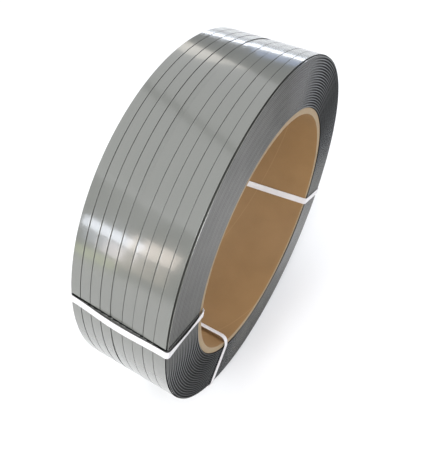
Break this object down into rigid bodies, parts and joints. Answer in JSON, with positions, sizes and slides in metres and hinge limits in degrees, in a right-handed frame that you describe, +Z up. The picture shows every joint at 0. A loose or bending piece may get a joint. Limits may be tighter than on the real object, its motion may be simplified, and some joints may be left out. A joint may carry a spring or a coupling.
{
  "type": "strapping roll",
  "caption": "Roll of flat plastic strapping wound in lanes on a paper core, held by tie bands through its bore.",
  "frame": {"origin": "centre of the core's bore, halfway between the coil's two ends", "axes": "+Y along the roll's axis, from the near end, where the outer layer's lanes start, to the far end; +Z up as the roll stands on its rim; +X to the right seen from the near end"},
  "size_m": [0.5799, 0.1582, 0.58],
  "materials": {
    "strap": "smooth glossy polyester strap, wound tight",
    "core_board": "spiral wound kraft board",
    "tie_band": "white polypropylene band"
  },
  "bodies": {
    "root": {"strap_coil": "strap", "core_tube": "core_board", "tie_band_front": "tie_band", "tie_band_low": "tie_band", "tie_band_rear": "tie_band"}
  },
  "joints": []
}
